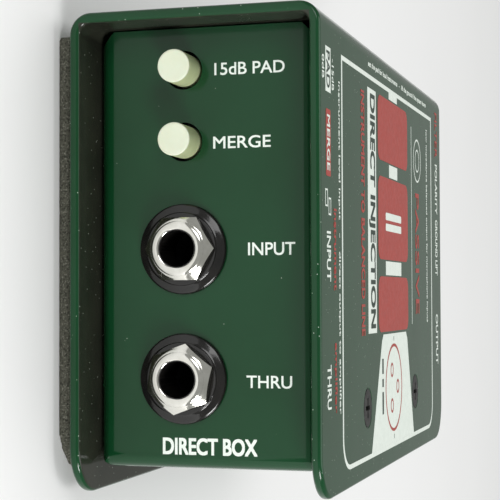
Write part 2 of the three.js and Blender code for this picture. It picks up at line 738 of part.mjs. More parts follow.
// ---- assembly ----

add('outer_shell', outerShell(), greenPaint());
add('inner_chassis', innerChassis(), greenPaint());
add('no_slip_pad', noSlipPad(), foam());
addShellScrews();
addJack('input', INPUT_X, 0);
addJack('thru', THRU_X, THREE.MathUtils.degToRad(40));
addSwitch('pad', SWITCH_X[0], (solid) => solid);
addSwitch('merge', SWITCH_X[1], (solid) => solid);
addSwitch('speaker', REAR_SWITCH_X[0], toRear);
addSwitch('polarity', REAR_SWITCH_X[1], toRear);
addSwitch('ground_lift', REAR_SWITCH_X[2], toRear);
addXlr();
addElectronics();

export default box;
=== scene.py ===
"""Direct injection box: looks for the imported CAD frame. Metres, +Z up, front panel facing -Y."""

import math

import bmesh
import bpy
from mathutils import Matrix, Vector, noise


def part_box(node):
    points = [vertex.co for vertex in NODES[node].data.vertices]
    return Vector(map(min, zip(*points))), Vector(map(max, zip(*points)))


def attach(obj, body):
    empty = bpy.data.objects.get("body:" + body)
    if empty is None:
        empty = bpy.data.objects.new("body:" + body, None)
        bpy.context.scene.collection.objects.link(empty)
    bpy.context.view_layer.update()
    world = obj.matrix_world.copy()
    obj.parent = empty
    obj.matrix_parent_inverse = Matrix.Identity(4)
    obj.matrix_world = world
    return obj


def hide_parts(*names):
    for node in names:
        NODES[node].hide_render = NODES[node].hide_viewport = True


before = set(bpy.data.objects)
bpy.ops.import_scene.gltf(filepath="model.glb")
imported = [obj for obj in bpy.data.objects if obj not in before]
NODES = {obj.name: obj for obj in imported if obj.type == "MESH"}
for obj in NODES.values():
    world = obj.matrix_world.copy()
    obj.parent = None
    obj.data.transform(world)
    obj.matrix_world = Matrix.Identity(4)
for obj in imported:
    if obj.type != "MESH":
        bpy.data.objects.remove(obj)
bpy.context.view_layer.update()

MM = 0.001
ROOT = "enclosure"
SHELL_LOW, SHELL_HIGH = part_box("outer_shell")
CHASSIS_LOW, CHASSIS_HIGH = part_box("inner_chassis")
PRINT_LIFT = 0.02 * MM            # printing stands this far off the paint
PRINT_BODY = 0.015 * MM
FRONT_FACE_Y = CHASSIS_LOW.y
REAR_FACE_Y = CHASSIS_HIGH.y
TOP_Z = SHELL_HIGH.z
SHEET = SHELL_HIGH.z - CHASSIS_HIGH.z - 0.3 * MM      # the chassis clears the plates by 0.3 mm
CAP_FACE = -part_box("pad_button")[0].y                 # buttons' faces, from the middle of the box
CONTROL_Z = (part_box("pad_button")[0].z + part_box("pad_button")[1].z) / 2


def centre_x(node):
    low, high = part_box(node)
    return (low.x + high.x) / 2


# ---------------------------------------------------------------- camera

# Fitted to the photo's edges, with the sleeve taken as 84 by 127 mm.
CAMERA_PLACE = Vector((7.61, -300.39, 105.01)) * MM
CAMERA_AIM = Vector((-0.52, -55.2, 33.41)) * MM
CAMERA_LENS = 106.1
CAMERA_ROLL = math.radians(0.19)


def make_camera():
    data = bpy.data.cameras.new("camera")
    data.sensor_width = 36
    data.lens = CAMERA_LENS
    data.clip_start = 0.01
    data.clip_end = 20
    camera = bpy.data.objects.new("camera", data)
    bpy.context.scene.collection.objects.link(camera)
    forward = (CAMERA_AIM - CAMERA_PLACE).normalized()
    up = Vector((-1, 0, 0))
    right = forward.cross(up).normalized()
    up = right.cross(forward)
    turn = Matrix.Rotation(CAMERA_ROLL, 3, forward)
    right, up = turn @ right, turn @ up
    camera.matrix_world = Matrix.Translation(CAMERA_PLACE) @ Matrix(
        (
            (right.x, up.x, -forward.x, 0),
            (right.y, up.y, -forward.y, 0),
            (right.z, up.z, -forward.z, 0),
            (0, 0, 0, 1),
        )
    )
    bpy.context.scene.camera = camera


# ---------------------------------------------------------------- materials


NOISE_ROUGHNESS = 0.55


class Nodes:
    """A material's node tree with short calls for the nodes used here."""

    def __init__(self, name):
        self.material = bpy.data.materials.new(name)
        self.material.use_nodes = True
        self.tree = self.material.node_tree
        self.shader = self.tree.nodes["Principled BSDF"]
        self.place = self.tree.nodes.new("ShaderNodeTexCoord").outputs["Object"]

    def link(self, source, target):
        self.tree.links.new(source, target)

    def set(self, **values):
        for name, value in values.items():
            self.shader.inputs[name.replace("_", " ")].default_value = value

    def noise(self, scale, detail=3.0):
        node = self.tree.nodes.new("ShaderNodeTexNoise")
        node.inputs["Scale"].default_value = scale
        node.inputs["Detail"].default_value = detail
        node.inputs["Roughness"].default_value = NOISE_ROUGHNESS
        self.link(self.place, node.inputs["Vector"])
        return node.outputs["Fac"]

    def stretched_noise(self, scale, stretch, detail):
        mapping = self.tree.nodes.new("ShaderNodeMapping")
        mapping.inputs["Scale"].default_value = stretch
        self.link(self.place, mapping.inputs["Vector"])
        node = self.tree.nodes.new("ShaderNodeTexNoise")
        node.inputs["Scale"].default_value = scale
        node.inputs["Detail"].default_value = detail
        self.link(mapping.outputs["Vector"], node.inputs["Vector"])
        return node.outputs["Fac"]

    def cells(self, scale):
        node = self.tree.nodes.new("ShaderNodeTexVoronoi")
        node.inputs["Scale"].default_value = scale
        self.link(self.place, node.inputs["Vector"])
        return node.outputs["Distance"]

    def ramp(self, source, low, high, start=0.0, end=1.0):
        node = self.tree.nodes.new("ShaderNodeMapRange")
        node.inputs["From Min"].default_value = low
        node.inputs["From Max"].default_value = high
        node.inputs["To Min"].default_value = start
        node.inputs["To Max"].default_value = end
        self.link(source, node.inputs["Value"])
        return node.outputs["Result"]

    def place_axis(self, axis, middle=0.0):
        """Distance from a plane across one axis, in the piece's own coordinates."""
        split = self.tree.nodes.new("ShaderNodeSeparateXYZ")
        self.link(self.place, split.inputs[0])
        shift = self.tree.nodes.new("ShaderNodeMath")
        shift.operation = "SUBTRACT"
        self.link(split.outputs[axis], shift.inputs[0])
        shift.inputs[1].default_value = middle
        size = self.tree.nodes.new("ShaderNodeMath")
        size.operation = "ABSOLUTE"
        self.link(shift.outputs[0], size.inputs[0])
        return size.outputs[0]

    def times(self, a, b):
        node = self.tree.nodes.new("ShaderNodeMath")
        node.operation = "MULTIPLY"
        self.link(a, node.inputs[0])
        self.link(b, node.inputs[1])
        return node.outputs[0]

    def mix(self, factor, first, second):
        node = self.tree.nodes.new("ShaderNodeMix")
        node.data_type = "RGBA"
        self.link(factor, node.inputs["Factor"])
        for socket, value in ((node.inputs["A"], first), (node.inputs["B"], second)):
            if isinstance(value, tuple):
                socket.default_value = (*value, 1)
            else:
                self.link(value, socket)
        return node.outputs["Result"]

    def bump(self, height, strength, distance):
        node = self.tree.nodes.new("ShaderNodeBump")
        node.inputs["Strength"].default_value = strength
        node.inputs["Distance"].default_value = distance
        self.link(height, node.inputs["Height"])
        previous = self.shader.inputs["Normal"].links
        if previous:
            self.link(previous[0].from_socket, node.inputs["Normal"])
        self.link(node.outputs["Normal"], self.shader.inputs["Normal"])

    def colour(self, source):
        self.link(source, self.shader.inputs["Base Color"])

    def rough(self, source):
        self.link(source, self.shader.inputs["Roughness"])


def dust(m, amount):
    """1 on small scattered specks."""
    near = m.ramp(m.cells(760), 0.085, 0.04)
    chosen = m.ramp(m.noise(330, 1), 1.0 - amount, 1.02 - amount)
    return m.times(near, chosen)


def enamel_green(m):
    """The paint's own colour, faintly cloudy."""
    return m.mix(m.ramp(m.noise(60, 4), 0.3, 0.7), (0.0035, 0.044, 0.013), (0.0050, 0.052, 0.017))


def gloss_enamel(m, base, specks):
    m.colour(m.mix(specks, base, (0.48, 0.56, 0.47)))
    m.rough(m.ramp(m.noise(180, 5), 0.3, 0.7, 0.10, 0.17))
    m.set(Specular_IOR_Level=0.32)
    m.bump(m.noise(620, 2), 0.08, 0.00006)
    m.bump(specks, 0.5, 0.00005)


def green_paint():
    """Gloss baked enamel: slight orange peel, faint cloudiness and dust nibs."""
    m = Nodes("green_paint")
    base = enamel_green(m)
    gloss_enamel(m, base, dust(m, 0.34))
    return m.material


def sleeve_paint():
    """The same enamel outside; within the sleeve's recess the colour is painted dark grey-brown, painted
    shade.
    """
    m = Nodes("sleeve_paint")
    base = enamel_green(m)
    middle = (SHELL_LOW.z + SHELL_HIGH.z) / 2
    half = (SHELL_HIGH.z - SHELL_LOW.z) / 2 - SHEET
    between = m.ramp(m.place_axis("Z", middle), half + 0.20 * MM, half + 0.05 * MM)
    clear = m.ramp(m.place_axis("X", SHELL_LOW.x), SHEET - 0.20 * MM, SHEET - 0.05 * MM)
    shaded_inside = m.times(between, clear)
    # painted shade: a dark grey-brown colour for the sleeve's inner faces, where the recess lies in shadow
    thin = m.mix(m.ramp(m.noise(140, 5), 0.3, 0.7), (0.022, 0.025, 0.018), (0.034, 0.036, 0.026))
    gloss_enamel(m, m.mix(shaded_inside, base, thin), dust(m, 0.80))
    return m.material


def foam_rubber():
    """Closed-cell foam: a dark grey skin of tiny open cells with pale flecks."""
    m = Nodes("foam_rubber")
    cell = m.cells(2100)
    fleck = m.ramp(m.noise(3400, 2), 0.56, 0.66)
    base = m.mix(m.ramp(cell, 0.1, 0.6), (0.026, 0.027, 0.020), (0.088, 0.088, 0.068))
    m.colour(m.mix(fleck, base, (0.20, 0.20, 0.165)))
    m.set(Roughness=0.93, Specular_IOR_Level=0.25)
    m.bump(cell, 0.8, 0.00018)
    m.bump(m.noise(900, 4), 0.5, 0.00015)
    return m.material


def ivory_plastic():
    """Satin moulding: cream on its face; down its sides the colour is painted darker and yellower, painted
    shade.
    """
    m = Nodes("ivory_plastic")
    face = m.mix(m.ramp(m.noise(320, 4), 0.3, 0.7), (0.70, 0.745, 0.57), (0.74, 0.79, 0.63))
    # painted shade: the cap's sides take a darker, yellower copy of the face's cream
    side = m.mix(m.ramp(m.noise(500, 4), 0.3, 0.7), (0.52, 0.58, 0.32), (0.57, 0.63, 0.36))
    outer = m.ramp(m.place_axis("Y"), CAP_FACE - 0.45 * MM, CAP_FACE - 0.15 * MM)
    m.colour(m.mix(outer, side, face))
    m.rough(m.ramp(m.noise(900, 3), 0.3, 0.7, 0.38, 0.52))
    m.set(Subsurface_Weight=0.05, Subsurface_Scale=0.0006)
    m.bump(m.noise(2400, 3), 0.12, 0.00004)
    return m.material


def moulded_plastic(name, dark, light, low_gloss, high_gloss):
    m = Nodes(name)
    m.colour(m.mix(m.ramp(m.noise(240, 4), 0.3, 0.7), dark, light))
    m.rough(m.ramp(m.noise(700, 4), 0.3, 0.7, low_gloss, high_gloss))
    m.bump(m.noise(1800, 3), 0.12, 0.00005)
    return m.material


def polished_nickel():
    """Bright plating with faint turning marks and a slightly uneven polish."""
    m = Nodes("polished_nickel")
    m.colour(m.mix(m.ramp(m.noise(500, 4), 0.35, 0.7), (0.80, 0.79, 0.74), (0.68, 0.67, 0.61)))
    m.rough(m.ramp(m.noise(900, 5), 0.3, 0.75, 0.07, 0.17))
    m.set(Metallic=1.0)
    m.bump(m.noise(300, 2), 0.06, 0.00006)
    return m.material


def black_oxide():
    m = Nodes("black_oxide")
    m.colour(m.mix(m.ramp(m.noise(700, 4), 0.3, 0.7), (0.012, 0.012, 0.012), (0.028, 0.027, 0.026)))
    m.rough(m.ramp(m.noise(1100, 4), 0.3, 0.7, 0.30, 0.45))
    m.set(Specular_IOR_Level=0.22)
    m.bump(m.noise(1700, 3), 0.15, 0.00004)
    return m.material


def brushed_alloy(name, dark, light):
    m = Nodes(name)
    grain = m.stretched_noise(90, (1, 30, 1), 5)
    m.colour(m.mix(m.ramp(grain, 0.3, 0.7), dark, light))
    m.rough(m.ramp(grain, 0.3, 0.7, 0.28, 0.45))
    m.set(Metallic=1.0)
    m.bump(grain, 0.15, 0.00005)
    return m.material


def solder_resist():
    m = Nodes("solder_resist")
    tracks = m.ramp(m.cells(240), 0.42, 0.46)
    m.colour(m.mix(tracks, (0.010, 0.085, 0.035), (0.016, 0.13, 0.055)))
    m.rough(m.ramp(m.noise(500, 3), 0.3, 0.7, 0.3, 0.4))
    m.bump(tracks, 0.3, 0.00004)
    return m.material


def printing_ink(name, first, second):
    """Screen-printed ink: nearly opaque, with pinholes and a slightly uneven film."""
    m = Nodes(name)
    holes = m.ramp(m.noise(5200, 3), 0.30, 0.36, 1.0, 0.0)
    film = m.mix(m.ramp(m.noise(700, 4), 0.3, 0.7), first, second)
    worn = tuple(0.55 * c + 0.45 * g for c, g in zip(first, (0.03, 0.08, 0.05)))
    m.colour(m.mix(holes, film, worn))
    m.rough(m.ramp(m.noise(1300, 3), 0.3, 0.7, 0.30, 0.42))
    m.bump(m.noise(2600, 3), 0.15, 0.00002)
    return m.material


GREEN = green_paint()
SLEEVE = sleeve_paint()
FOAM = foam_rubber()
IVORY = ivory_plastic()
WHITE_PLASTIC = moulded_plastic("white_plastic", (0.62, 0.62, 0.58), (0.72, 0.72, 0.68), 0.35, 0.5)
BLACK = moulded_plastic("black_plastic", (0.006, 0.006, 0.006), (0.012, 0.011, 0.010), 0.08, 0.16)
GREY = moulded_plastic("grey_plastic", (0.020, 0.021, 0.023), (0.034, 0.035, 0.038), 0.4, 0.55)
NICKEL = polished_nickel()
OXIDE = black_oxide()
CAN = brushed_alloy("screening_alloy", (0.42, 0.42, 0.39), (0.56, 0.56, 0.53))
CORE = brushed_alloy("core_steel", (0.20, 0.20, 0.20), (0.34, 0.34, 0.33))
COPPER = brushed_alloy("copper_wire", (0.42, 0.16, 0.06), (0.62, 0.27, 0.11))
BOARD = solder_resist()
YELLOW_FILM = moulded_plastic("yellow_film", (0.42, 0.28, 0.03), (0.55, 0.38, 0.05), 0.25, 0.4)
RED_FILM = moulded_plastic("red_film", (0.34, 0.045, 0.025), (0.46, 0.06, 0.03), 0.25, 0.4)
RESISTOR = moulded_plastic("resistor_lacquer", (0.50, 0.40, 0.26), (0.62, 0.50, 0.34), 0.3, 0.45)
WHITE_INK = printing_ink("white_ink", (0.86, 0.93, 0.86), (0.79, 0.86, 0.79))
RED_INK = printing_ink("red_ink", (0.43, 0.044, 0.032), (0.37, 0.038, 0.028))
DARK_INK = printing_ink("dark_ink", (0.010, 0.034, 0.020), (0.007, 0.026, 0.015))


# ---------------------------------------------------------------- making pieces


def add_object(name, mesh, material, body):
    obj = bpy.data.objects.new(name, mesh)
    bpy.context.scene.collection.objects.link(obj)
    mesh.materials.clear()
    mesh.materials.append(material)
    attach(obj, body)
    return obj


def smooth(mesh, angle=32):
    mesh.shade_smooth()
    mesh.set_sharp_from_angle(angle=math.radians(angle))


def merged_copy(node):
    """A CAD node's shape with shared vertices and whole flat faces, for bevelling."""
    mesh = NODES[node].data.copy()
    bm = bmesh.new()
    bm.from_mesh(mesh)
    bmesh.ops.remove_doubles(bm, verts=bm.verts, dist=2e-6)
    bmesh.ops.dissolve_limit(
        bm, angle_limit=math.radians(1.0), verts=bm.verts, edges=bm.edges, delimit={"NORMAL"}
    )
    bm.to_mesh(mesh)
    bm.free()
    for name in [a.name for a in mesh.attributes if a.name in ("custom_normal", "UVMap")]:
        mesh.attributes.remove(mesh.attributes[name])
    return mesh


def round_edges(obj, bevel, segments, limit=24):
    modifier = obj.modifiers.new("edges", "BEVEL")
    modifier.width = bevel
    modifier.segments = segments
    modifier.limit_method = "ANGLE"
    modifier.angle_limit = math.radians(limit)
    apply_modifiers(obj)
    smooth(obj.data, 40)
    weigh = obj.modifiers.new("weights", "WEIGHTED_NORMAL")
    weigh.keep_sharp = True
    weigh.weight = 90


def softened(node, material, bevel, limit=28):
    """The CAD node again with its sharp edges rolled over, as cut, painted or moulded edges are."""
    obj = add_object(node + "_finished", merged_copy(node), material, ROOT)
    round_edges(obj, bevel, 3, limit)
    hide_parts(node)


def apply_modifiers(obj):
    graph = bpy.context.evaluated_depsgraph_get()
    made = bpy.data.meshes.new_from_object(obj.evaluated_get(graph))
    obj.modifiers.clear()
    obj.data = made


def finish_node(node, material):
    """A CAD node kept as it is, with its own material."""
    obj = NODES[node]
    obj.data.materials.clear()
    obj.data.materials.append(material)


# ---------------------------------------------------------------- text and printing


def text_mesh(words, size):
    """Flat letters of the given cap height, lying in XY around their own middle."""
    curve = bpy.data.curves.new("words", "FONT")
    curve.body = words
    curve.size = 1.0
    curve.resolution_u = 4
    obj = bpy.data.objects.new("words", curve)
    bpy.context.scene.collection.objects.link(obj)
    graph = bpy.context.evaluated_depsgraph_get()
    mesh = bpy.data.meshes.new_from_object(obj.evaluated_get(graph))
    bpy.data.objects.remove(obj)
    lows = [min(v.co[i] for v in mesh.vertices) for i in range(2)]
    highs = [max(v.co[i] for v in mesh.vertices) for i in range(2)]
    middle = Vector(((lows[0] + highs[0]) / 2, (lows[1] + highs[1]) / 2, 0))
    scale = size / (highs[1] - lows[1])
    mesh.transform(Matrix.Scale(scale, 4) @ Matrix.Translation(-middle))
    return mesh, (highs[0] - lows[0]) * scale


COPY_LIFT = 0.003 * MM            # between the copies that make a stroke bold
ROUND_STEPS = 6
CIRCLE_STEPS = 48


class Print:
    """Collects flat printed shapes of one ink on one surface, then makes a thin raised film of them."""

    def __init__(self, surface):
        self.bm = bmesh.new()
        self.surface = surface

    def words(self, text, x, y, size, width, bold):
        """Bold strokes are four copies a little apart, each lying a hair above the last."""
        mesh, made = text_mesh(text, size)
        mesh.transform(Matrix.Translation((x, y, 0)) @ Matrix.Diagonal((width / made, 1, 1, 1)))
        apart = bold * size
        for dx, dy in ((-apart, -apart), (2 * apart, 0), (0, 2 * apart), (-2 * apart, 0)):
            mesh.transform(Matrix.Translation((dx, dy, COPY_LIFT)))
            self.bm.from_mesh(mesh)
        bpy.data.meshes.remove(mesh)

    def outline(self, points, holes=()):
        """A filled outline; holes are outlines left clear."""
        edges = []
        for loop in (points, *holes):
            verts = [self.bm.verts.new((*p, 0)) for p in loop]
            for first, second in zip(verts, verts[1:] + verts[:1]):
                edges.append(self.bm.edges.new((first, second)))
        bmesh.ops.triangle_fill(self.bm, use_beauty=True, use_dissolve=True, edges=edges)

    def film(self, name, ink):
        """A closed film: tops, bottoms and a wall along every free edge."""
        flat = self.bm
        bmesh.ops.remove_doubles(flat, verts=flat.verts, dist=1e-7)
        for face in flat.faces:
            if face.normal.z < 0:
                face.normal_flip()
        made = bmesh.new()
        low = {v: made.verts.new(v.co) for v in flat.verts}
        high = {v: made.verts.new(v.co + Vector((0, 0, PRINT_BODY))) for v in flat.verts}
        for face in flat.faces:
            made.faces.new([high[v] for v in face.verts])
            made.faces.new([low[v] for v in reversed(face.verts)])
        for edge in flat.edges:
            if edge.is_boundary:
                loop = edge.link_loops[0]
                start, end = loop.vert, loop.link_loop_next.vert
                made.faces.new((low[start], low[end], high[end], high[start]))
        bmesh.ops.delete(made, geom=[v for v in made.verts if not v.link_faces], context="VERTS")
        mesh = bpy.data.meshes.new(name)
        made.to_mesh(mesh)
        made.free()
        flat.free()
        mesh.transform(self.surface)
        add_object(name, mesh, ink, ROOT)


def rounded(x0, x1, y0, y1, radius):
    points = []
    for cx, cy, start in (
        (x1 - radius, y1 - radius, 0),
        (x0 + radius, y1 - radius, 90),
        (x0 + radius, y0 + radius, 180),
        (x1 - radius, y0 + radius, 270),
    ):
        for i in range(ROUND_STEPS + 1):
            angle = math.radians(start + 90 * i / ROUND_STEPS)
            points.append((cx + radius * math.cos(angle), cy + radius * math.sin(angle)))
    return points


def circle(x, y, radius):
    turn = 2 * math.pi / CIRCLE_STEPS
    return [(x + radius * math.cos(i * turn), y + radius * math.sin(i * turn)) for i in range(CIRCLE_STEPS)]


# Surfaces: where the print's own x, y and outward direction point.
ON_TOP = Matrix.Translation((0, 0, TOP_Z + PRINT_LIFT))
ON_TOP_SECOND = Matrix.Translation((0, 0, TOP_Z + PRINT_LIFT + PRINT_BODY + 5 * COPY_LIFT))
ON_TOP_ALONG = ON_TOP @ Matrix.Rotation(math.radians(90), 4, "Z")
ON_FRONT = Matrix.Translation((0, FRONT_FACE_Y - PRINT_LIFT, 0)) @ Matrix(
    ((0, -1, 0, 0), (0, 0, -1, 0), (1, 0, 0, 0), (0, 0, 0, 1))
)
ON_REAR = Matrix.Translation((0, REAR_FACE_Y + PRINT_LIFT, 0)) @ Matrix(
    ((0, -1, 0, 0), (0, 0, 1, 0), (-1, 0, 0, 0), (0, 0, 0, 1))
)


# ---------------------------------------------------------------- turned pieces


def millimetres(points):
    return [(r * MM, y) for r, y in points]


def turned_mesh(name, profile, x, z, steps, closed=False):
    """Mesh turned around a line parallel to Y. The profile's (radius, y) points run from axis to axis,
    or close on themselves around a bore."""
    bm = bmesh.new()
    rings = []
    for radius, y in profile:
        if radius == 0:
            rings.append([bm.verts.new((x, y, z))])
            continue
        ring = []
        for i in range(steps):
            angle = i * (2 * math.pi / steps)
            ring.append(bm.verts.new((x + radius * math.sin(angle), y, z + radius * math.cos(angle))))
        rings.append(ring)
    pairs = list(zip(rings, rings[1:]))
    if closed:
        pairs.append((rings[-1], rings[0]))
    for first, second in pairs:
        skin(bm, first, second)
    bmesh.ops.recalc_face_normals(bm, faces=bm.faces)
    mesh = bpy.data.meshes.new(name)
    bm.to_mesh(mesh)
    bm.free()
    return mesh


def skin(bm, first, second):
    """Faces between two neighbouring rings, either of which may be a single point."""
    steps = max(len(first), len(second))
    for i in range(steps):
        j = (i + 1) % steps
        corners = [first[i % len(first)], first[j % len(first)]]
        corners += [second[j % len(second)], second[i % len(second)]]
        unique = [v for k, v in enumerate(corners) if v not in corners[:k]]
        bm.faces.new(unique)


# ---------------------------------------------------------------- casing

SHELL_BEVEL = 0.75 * MM
CHASSIS_BEVEL = 0.25 * MM


def make_sleeve():
    """The sheet's cut edges are rolled over; the countersunk holes under the screw heads stay crisp."""
    sleeve = add_object("outer_shell_finished", merged_copy("outer_shell"), SLEEVE, ROOT)
    holes = [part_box(f"shell_screw_{number}") for number in range(1, 5)]
    centres = [Vector(((low.x + high.x) / 2, (low.y + high.y) / 2)) for low, high in holes]
    bm = bmesh.new()
    bm.from_mesh(sleeve.data)
    weight = bm.edges.layers.float.new("bevel_weight_edge")
    for edge in bm.edges:
        middle = (edge.verts[0].co + edge.verts[1].co) / 2
        at_hole = min((middle.xy - centre).length for centre in centres) < 6 * MM
        if edge.is_manifold and edge.calc_face_angle() > math.radians(40) and not at_hole:
            edge[weight] = 1.0
    bm.to_mesh(sleeve.data)
    bm.free()
    roll = sleeve.modifiers.new("edges", "BEVEL")
    roll.width = SHELL_BEVEL
    roll.segments = 6
    roll.limit_method = "WEIGHT"
    roll.use_clamp_overlap = False
    apply_modifiers(sleeve)
    smooth(sleeve.data, 34)
    weigh = sleeve.modifiers.new("weights", "WEIGHTED_NORMAL")
    weigh.keep_sharp = True
    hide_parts("outer_shell")


def make_casing():
    make_sleeve()
    softened("inner_chassis", GREEN, CHASSIS_BEVEL)
    for number in range(1, 5):
        softened(f"shell_screw_{number}", OXIDE, 0.08 * MM)


def make_pad():
    """Foam sheet: its cut edges wander a little and its skin is slightly uneven."""
    low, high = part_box("no_slip_pad")
    mesh = merged_copy("no_slip_pad")
    thickness = SHELL_LOW.z - PRINT_LIFT
    for vert in mesh.vertices:
        vert.co.z *= thickness / (high.z - low.z)
    pad = add_object("no_slip_pad_foam", mesh, FOAM, ROOT)
    remesh = pad.modifiers.new("remesh", "REMESH")
    remesh.mode = "VOXEL"
    remesh.voxel_size = 0.6 * MM
    apply_modifiers(pad)
    normals = [vert.normal.copy() for vert in pad.data.vertices]
    for vert, normal in zip(pad.data.vertices, normals):
        place = vert.co.copy()
        edge = noise.noise(place * 260) * 0.12 * MM + noise.noise(place * 1100) * 0.05 * MM
        place += Vector((normal.x, normal.y, 0)) * edge
        place.z += abs(normal.z) * noise.noise(place * 700) * 0.03 * MM
        place.z = min(max(place.z, 0.0), thickness)
        vert.co = place
    smooth(pad.data, 60)
    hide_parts("no_slip_pad")


# ---------------------------------------------------------------- switches and jacks


SOCKET_SHARE = 0.62                # of the cap's radius
SOCKET_DEPTH = 4.4                 # millimetres


def make_button(name):
    """Moulded cap with rolled edges and a shallow dish in its face."""
    node = name + "_button"
    low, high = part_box(node)
    x, z = (low.x + high.x) / 2, (low.z + high.z) / 2
    front = abs(low.y) > abs(high.y)
    face, back = (low.y, high.y) if front else (high.y, low.y)
    inward = 1 if front else -1
    radius = (high.x - low.x) / 2
    dish = 0.08 * MM
    profile = [
        (0, face + inward * dish),
        (radius * 0.35, face + inward * dish * 0.85),
        (radius * 0.65, face + inward * dish * 0.3),
        (radius * 0.85, face),
        (radius, face),
        (radius, back),
        (radius * SOCKET_SHARE, back),
        (radius * SOCKET_SHARE, back - inward * SOCKET_DEPTH * MM),
        (0, back - inward * SOCKET_DEPTH * MM),
    ]
    mesh = turned_mesh(node, profile, x, z, 72)
    cap = add_object(node + "_cap", mesh, IVORY, name + "_actuator")
    round_edges(cap, 0.22 * MM, 4)
    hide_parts(node)


# Radii and heights of the jacks' turned pieces, in millimetres.
JACK_BORE = 3.38
LINER_IN, LINER_OUT = 3.20, 3.36
THREAD = 4.78
SHOULDER = 6.10
RING_IN, RING_SPIGOT = 4.95, 5.60
RING_HEIGHT = 1.5


def make_jack(name, nut_turn):
    x = centre_x(name + "_jack_bushing")
    z = CONTROL_Z
    panel = FRONT_FACE_Y
    bushing_low, bushing_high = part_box(name + "_jack_bushing")

    ring = name + "_jack_ring"
    ring_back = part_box(ring)[1].y
    steps = [
        (RING_IN, RING_HEIGHT),
        (6.32, RING_HEIGHT),
        (6.42, 1.34),
        (6.78, 1.16),
        (7.50, 0.98),
        (7.80, 0.80),
        (7.95, 0.50),
        (7.95, 0.0),
        (RING_SPIGOT, 0.0),
    ]
    profile = [(r * MM, panel - h * MM) for r, h in steps]
    profile += [(RING_SPIGOT * MM, ring_back), (RING_IN * MM, ring_back)]
    mesh = turned_mesh(ring, profile, x, z, 128, closed=True)
    washer = add_object(ring + "_moulded", mesh, BLACK, ROOT)
    round_edges(washer, 0.10 * MM, 3, 20)
    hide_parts(ring)

    nut = name + "_jack_nut"
    make_nut(nut, x, z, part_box(nut)[0].y, panel - (RING_HEIGHT + 0.02) * MM, nut_turn)

    bushing = name + "_jack_bushing"
    mouth, tail = bushing_low.y, bushing_high.y
    sleeve = [
        (JACK_BORE, tail),
        (SHOULDER, tail),
        (SHOULDER, tail - 1.6 * MM),
        (THREAD, tail - 1.6 * MM),
    ]
    dome = ((THREAD, 0.42), (4.55, 0.22), (4.25, 0.09), (3.95, 0.02))
    dome += ((3.75, 0.0), (3.52, 0.03), (JACK_BORE, 0.14))
    sleeve += [(r, mouth + depth * MM) for r, depth in dome]
    mesh = turned_mesh(bushing, millimetres(sleeve), x, z, 128, closed=True)
    metal = add_object(bushing + "_turned", mesh, NICKEL, ROOT)
    smooth(mesh, 40)
    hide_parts(bushing)
    liner = [
        (LINER_IN, mouth + 0.16 * MM),
        (LINER_IN, tail),
        (LINER_OUT, tail),
        (LINER_OUT, mouth + 0.16 * MM),
    ]
    mesh = turned_mesh(name + "_jack_liner", millimetres(liner), x, z, 96, closed=True)
    smooth(mesh)
    add_object(name + "_jack_liner", mesh, BLACK, ROOT)


# The nuts, in millimetres: across flats, then radii, then depths from the face.
NUT_FLATS = 10.9
NUT_BORE = 4.79
NUT_CROWN = 5.00
CROWN_STEP = 0.25
BORE_DEPTH, CROWN_DEPTH = 0.32, 0.42
CROWN_SLOPE = math.tan(math.radians(40))


def make_nut(node, x, z, face, back, turn):
    """Hexagon nut whose corners are cut back by a turned crown, as a bar-turned nut's are."""
    bm = bmesh.new()
    per_side = 24
    rings = []
    for i in range(6 * per_side):
        angle = turn + i * math.radians(60) / per_side
        off_flat = (i % per_side) / per_side * 60 - 30
        reach = NUT_FLATS / 2 / math.cos(math.radians(off_flat))
        drop = (reach - NUT_CROWN) * CROWN_SLOPE
        profile = [
            (NUT_BORE, back),
            (NUT_BORE, face + BORE_DEPTH * MM),
            (NUT_CROWN, face + CROWN_DEPTH * MM),
            (NUT_CROWN + CROWN_STEP, face + (CROWN_DEPTH + CROWN_STEP * CROWN_SLOPE) * MM),
            (reach, face + (CROWN_DEPTH + drop) * MM),
            (reach, back - drop * 0.35 * MM),
            (reach - CROWN_STEP, back),
        ]
        ring = []
        for r, y in profile:
            ring.append(bm.verts.new((x + r * MM * math.sin(angle), y, z + r * MM * math.cos(angle))))
        rings.append(ring)
    for first, second in zip(rings, rings[1:] + rings[:1]):
        skin(bm, first, second)
    bmesh.ops.recalc_face_normals(bm, faces=bm.faces)
    mesh = bpy.data.meshes.new(node)
    bm.to_mesh(mesh)
    bm.free()
    smooth(mesh, 24)
    nut = add_object(node + "_turned", mesh, NICKEL, ROOT)
    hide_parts(node)


def make_controls():
    for name in ("pad", "merge", "speaker", "polarity", "ground_lift"):
        make_button(name)
        finish_node(name + "_switch_body", GREY)
        finish_node(name + "_switch_plunger", WHITE_PLASTIC)
    for name, turn in (("input", 0.0), ("thru", math.radians(40))):
        make_jack(name, turn)
        finish_node(name + "_jack_inner_washer", BLACK)
        finish_node(name + "_jack_housing", GREY)
        finish_node(name + "_jack_tip_spring", NICKEL)


# ---------------------------------------------------------------- balanced output


def make_output():
    softened("xlr_shell", BLACK, 0.25 * MM, limit=35)
    softened("xlr_insert", BLACK, 0.12 * MM, limit=35)
    for number in (1, 2):
        softened(f"xlr_screw_{number}", OXIDE, 0.06 * MM)
    for number in (1, 2, 3):
        node = f"xlr_pin_{number}"
        low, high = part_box(node)
        radius = (high.x - low.x) / 2
        tip = 0.9 * MM
        profile = [(0, low.y), (radius, low.y), (radius, high.y - tip)]
        for i in range(1, 7):
            angle = math.radians(15 * i)
            profile.append((radius * math.cos(angle) if i < 6 else 0, high.y - tip + tip * math.sin(angle)))
        mesh = turned_mesh(node, profile, (low.x + high.x) / 2, (low.z + high.z) / 2, 48)
        smooth(mesh)
        pin = add_object(node + "_turned", mesh, NICKEL, ROOT)
        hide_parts(node)


